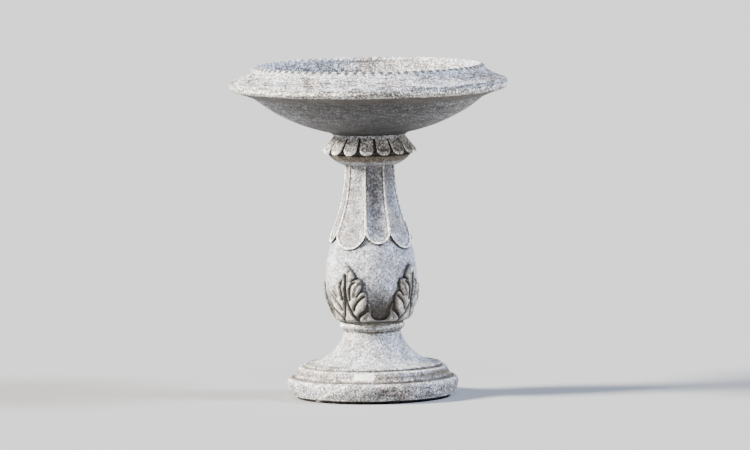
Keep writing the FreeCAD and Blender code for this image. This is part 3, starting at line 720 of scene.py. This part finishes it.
# The grooves carved into that half, and how deep they are.
LEAF_GROOVES = [
    ([(-2.5, 28.6), (-2.5, 25.0), (-1.9, 23.5), (-1.0, 22.0), (0.9, 20.8), (3.0, 19.7), (6.0, 19.0),
      (10.0, 18.0)], 0.72),
    ([(2.4, 23.0), (2.8, 24.6), (3.6, 25.6), (5.6, 26.5), (9.5, 26.9)], 0.66),
    ([(20.0, 23.75), (15.5, 23.05), (11.0, 22.3), (8.0, 21.5), (6.0, 20.6)], 0.72),
    ([(25.0, 20.6), (22.0, 20.35), (16.0, 19.7), (12.0, 19.1), (10.3, 18.3)], 0.72),
    ([(2.6, 29.3), (1.6, 27.6), (0.6, 26.0)], 0.28),
    ([(15.0, 26.6), (11.0, 25.4), (8.0, 23.8)], 0.36),
    ([(26.6, 21.2), (24.6, 19.6), (20.0, 18.6)], 0.34)]
GROOVE_REACH_MM = 0.36
LEAF_REACH_DEGREES, LEAF_COLUMNS, LEAF_ROWS = 52.0, 176, 136
LEAF_LOW_MM, LEAF_HIGH_MM = 17.35, 30.9
# A leaf's relief over its bed, the width of its shoulder, and the sunk margin that is left round it.
LEAF_RELIEF_MM, LEAF_SHOULDER_MM, LEAF_BED_MM, LEAF_SUNK_MM, LEAF_MARGIN_MM = 0.95, 1.0, 0.12, 0.15, 0.16
LEAF_THICK_MM = 0.3
LEAF_WORN_FROM_MM, LEAF_DARK_BELOW_MM, WORN_STEEPNESS, DARK_STEEPNESS = 0.9, 0.86, 8.0, 2.2
LEAF_WEAR, LEAF_GRIME, GROOVE_GRIME = 0.62, 0.12, 0.35
# The other half is mirrored about this line, and drawn in towards it above this height.
FOLD_DEGREES, NARROW_FROM_MM = -3.0, 26.0
# On the urn's belly, one degree round is this far.
DEGREE_MM = math.radians(1) * 10.6
# Number, middle and facing of each leaf; two mirrored pairs.
LEAVES = [(1, -30.0, 1), (2, 54.0, -1), (3, 150.0, 1), (4, -126.0, -1)]


def curve_through(points, count=6):
    """A smooth line through the given points."""
    fine = []
    ends = [points[0]] + list(points) + [points[-1]]
    for before, here, there, after in zip(ends, ends[1:], ends[2:], ends[3:]):
        before, here, there, after = (Vector(point) for point in (before, here, there, after))
        slope = there - before
        bend = 2 * before - 5 * here + 4 * there - after
        twist = 3 * here - before - 3 * there + after
        for i in range(count):
            t = i / count
            fine.append(tuple(0.5 * (2 * here + slope * t + bend * t ** 2 + twist * t ** 3)))
    return np.array(fine + [tuple(points[-1])])


def line_distance(x, y, line):
    """Distance of each place from a line of points."""
    nearest = np.full(x.shape, np.inf)
    for (x0, y0), (x1, y1) in zip(line, line[1:]):
        dx, dy = x1 - x0, y1 - y0
        share = np.clip(((x - x0) * dx + (y - y0) * dy) / (dx * dx + dy * dy), 0, 1)
        nearest = np.minimum(nearest, np.hypot(x - x0 - share * dx, y - y0 - share * dy))
    return nearest


def is_inside(x, y, line):
    """Whether each place lies inside a closed line of points."""
    inside = np.zeros(x.shape, bool)
    for (x0, y0), (x1, y1) in zip(line, np.roll(line, -1, 0)):
        if y0 != y1:
            inside ^= ((y0 > y) != (y1 > y)) & (x < (x1 - x0) * (y - y0) / (y1 - y0) + x0)
    return inside


leaf_edge = np.vstack([curve_through(LEAF_EDGE), LEAF_FOOT]) * (DEGREE_MM, 1)
leaf_grooves = [(curve_through(line) * (DEGREE_MM, 1), depth) for line, depth in LEAF_GROOVES]


def leaf_relief(degrees, height):
    """How far a leaf stands off the urn, less than zero outside it, and how deep its grooves are."""
    best, carved = np.full(degrees.shape, -1.0), np.zeros(degrees.shape)
    squeeze = 1 + 2.0 * np.clip((height - NARROW_FROM_MM) / 2, 0, 1)
    for half in (degrees, FOLD_DEGREES + (FOLD_DEGREES - degrees) * squeeze):
        x = half * DEGREE_MM
        away = line_distance(x, height, leaf_edge)
        raised = np.sqrt(1 - (1 - np.clip(away / LEAF_SHOULDER_MM, 0, 1)) ** 2)
        cut = np.zeros(degrees.shape)
        for line, depth in leaf_grooves:
            cut = np.maximum(cut, depth * bell(line_distance(x, height, line), GROOVE_REACH_MM))
        inside = is_inside(x, height, leaf_edge)
        better = np.where(inside, LEAF_RELIEF_MM * raised, -np.minimum(away, 1.0))
        carved = np.where(better > best, cut, carved)
        best = np.maximum(best, better)
    return best, carved


def leaf(index, middle_degrees, facing):
    """One leaf: a patch that follows the urn, raised and grooved inside the leaf's edge, cut away outside."""
    mesh = start_mesh()
    worn, grime, shade = layers(mesh)
    made = bmesh.ops.create_grid(mesh, x_segments=LEAF_COLUMNS, y_segments=LEAF_ROWS, size=1.0)["verts"]
    grid = np.array([vert.co for vert in made])
    across = grid[:, 0] * LEAF_REACH_DEGREES
    height = LEAF_LOW_MM + (grid[:, 1] + 1) / 2 * (LEAF_HIGH_MM - LEAF_LOW_MM)
    relief, carved = leaf_relief(across, height)
    lift = np.where(relief > 0, LEAF_BED_MM + relief - carved, -LEAF_SUNK_MM)
    radius = np.interp(height, urn_heights, urn_radii) + lift
    angle = FRONT + np.radians(middle_degrees + facing * across)
    places = np.stack([radius * np.cos(angle), radius * np.sin(angle), height], 1) * MM
    high = np.clip((lift - LEAF_WORN_FROM_MM) * WORN_STEEPNESS, 0, 1)
    # Low parts and grooves of a leaf are painted dark as shade, with a little brown wash.
    low = np.clip((LEAF_DARK_BELOW_MM - lift) * DARK_STEEPNESS, 0, 1)
    for vert, place, wear, hollow_shade_and_wash in zip(made, places, high, low):
        vert.co = place
        vert[worn], vert[shade], vert[grime] = LEAF_WEAR * wear, hollow_shade_and_wash, GROOVE_GRIME * hollow_shade_and_wash + LEAF_GRIME
    kept = {vert: rise > -LEAF_MARGIN_MM for vert, rise in zip(made, relief)}
    spare = [face for face in mesh.faces if not any(kept[vert] for vert in face.verts)]
    bmesh.ops.delete(mesh, geom=spare, context="FACES")
    bmesh.ops.delete(mesh, geom=[vert for vert in mesh.verts if not vert.link_faces], context="VERTS")
    bmesh.ops.recalc_face_normals(mesh, faces=mesh.faces)
    bmesh.ops.solidify(mesh, geom=mesh.faces[:], thickness=LEAF_THICK_MM * MM)
    add_piece(mesh, f"acanthus_leaf_{index}_cast", leaf_paint, f"acanthus_leaf_{index}",
              sharp_degrees=70)


for index, middle_degrees, facing in LEAVES:
    leaf(index, middle_degrees, facing)


# ---------------------------------------------------------------- urn

# How far from a leaf its shadow is worked out, and how far the shadow reaches.
LEAF_SHADOW_DEGREES, LEAF_SHADOW_MM = 58.0, 0.6
# The urn is painted darker, as shade with brown wash, from the first height down to the second.
LOW_FROM_MM, LOW_FULL_MM = 27.0, 20.5
# Under the petals lies a narrow dark shadow, a wide faint one and a band of grime.
HEM_REACH_MM, WIDE_REACH_MM, HEM_GRIME_REACH_MM = 0.7, 3.0, 1.2
LEAF_PAINTED_SHADOW, LOW_PAINTED_SHADE, HEM_PAINTED_SHADOW, WIDE_PAINTED_SHADOW, LOW_GRIME, HEM_GRIME = 0.8, 0.95, 0.95, 0.35, 0.5, 0.3


def urn_wash_and_painted_shade(mesh):
    """Paints brown wash, and shadow as dark paint, round the leaves, under the petals and low between the
    leaves.
    """
    worn, grime, shade = layers(mesh)
    verts = list(mesh.verts)
    points = np.array([vert.co for vert in verts]) / MM
    degrees = np.degrees(np.arctan2(points[:, 1], points[:, 0])) + 90
    closest = np.full(len(verts), -1.0)
    for index, middle_degrees, facing in LEAVES:
        across = facing * ((degrees - middle_degrees + 180) % 360 - 180)
        near = np.abs(across) < LEAF_SHADOW_DEGREES
        closest[near] = np.maximum(closest[near], leaf_relief(across[near], points[near, 2])[0])
    for vert, turn, relief in zip(verts, degrees, closest):
        height = vert.co.z / MM
        beside = bell(min(relief, 0.0), LEAF_SHADOW_MM)
        below_hem = max(0.0, hem_above(turn) - height)
        low = ramp(height, LOW_FROM_MM, LOW_FULL_MM)
        vert[shade] = max(LEAF_PAINTED_SHADOW * beside, LOW_PAINTED_SHADE * low, HEM_PAINTED_SHADOW * bell(below_hem, HEM_REACH_MM),
                          WIDE_PAINTED_SHADOW * bell(below_hem, WIDE_REACH_MM))
        vert[grime] = max(LOW_GRIME * low, HEM_GRIME * bell(below_hem, HEM_GRIME_REACH_MM))


turned("urn", [(0, 0)] + URN_CORNERS + [(0, 21.3)], urn_paint, uneven=0.05, steps=320, step=0.22,
       seed=6, finish=urn_wash_and_painted_shade)


# ---------------------------------------------------------------- pin

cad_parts["core_pin"].data.materials.clear()
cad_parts["core_pin"].data.materials.append(pin_steel())


# ---------------------------------------------------------------- floor, light and camera

FLOOR_METRES, FLOOR_ROUGHNESS, SKY_STRENGTH = 6.0, 0.9, 0.06
# Name, degrees round from the front, rise, spread, strength and colour.
LIGHTS = [("window_left", -82, 31, 14, 24.0, (1.0, 0.965, 0.9)),
          ("sky_right", 78, 41, 16, 8.5, (0.66, 0.77, 1.0)),
          ("overhead", 0, 55, 22, 0.9, (0.93, 0.96, 1.0))]
CAMERA_RISE, CAMERA_ROLL = math.radians(5.0), math.radians(-0.85)
CAMERA_AWAY, CAMERA_AIM_MM, LENS_MM, SENSOR_MM = 1.9, (1.0, 0.0, 39.2), 400, 36


def soft_light(name, degrees, rise, spread, strength, colour):
    """A broad far lamp at an angle round from the front, with its rise and spread in degrees."""
    light = bpy.data.lights.new(name, "SUN")
    light.angle = math.radians(spread)
    light.energy = strength
    light.color = colour
    lamp = bpy.data.objects.new(name, light)
    turn, rise = math.radians(degrees), math.radians(rise)
    arm = Vector((math.sin(turn) * math.cos(rise), -math.cos(turn) * math.cos(rise), math.sin(rise)))
    lamp.rotation_euler = arm.to_track_quat("Z", "Y").to_euler()
    bpy.context.scene.collection.objects.link(lamp)


floor_paint = Paint("floor_paint")
floor_paint.shader.inputs["Base Color"].default_value = tone(0.26, 0.257, 0.253)
floor_paint.shader.inputs["Roughness"].default_value = FLOOR_ROUGHNESS
bpy.ops.mesh.primitive_plane_add(size=FLOOR_METRES)
floor = bpy.context.object
floor.name = "studio_floor"
floor.data.materials.append(floor_paint.material)

world = bpy.data.worlds.new("studio_sky")
bpy.context.scene.world = world
world.use_nodes = True
world.node_tree.nodes["Background"].inputs["Color"].default_value = tone(0.88, 0.92, 1.0)
world.node_tree.nodes["Background"].inputs["Strength"].default_value = SKY_STRENGTH

for settings in LIGHTS:
    soft_light(*settings)

camera_data = bpy.data.cameras.new("camera")
camera_data.sensor_width = SENSOR_MM
camera_data.lens = LENS_MM
camera_data.clip_end = 20
camera = bpy.data.objects.new("camera", camera_data)
camera.location = Vector(CAMERA_AIM_MM) * MM
camera.location += Vector((0, -math.cos(CAMERA_RISE), math.sin(CAMERA_RISE))) * CAMERA_AWAY
camera.rotation_euler = (math.pi / 2 - CAMERA_RISE, 0, 0)
camera.rotation_euler.rotate_axis("Z", CAMERA_ROLL)
bpy.context.scene.collection.objects.link(camera)
bpy.context.scene.camera = camera
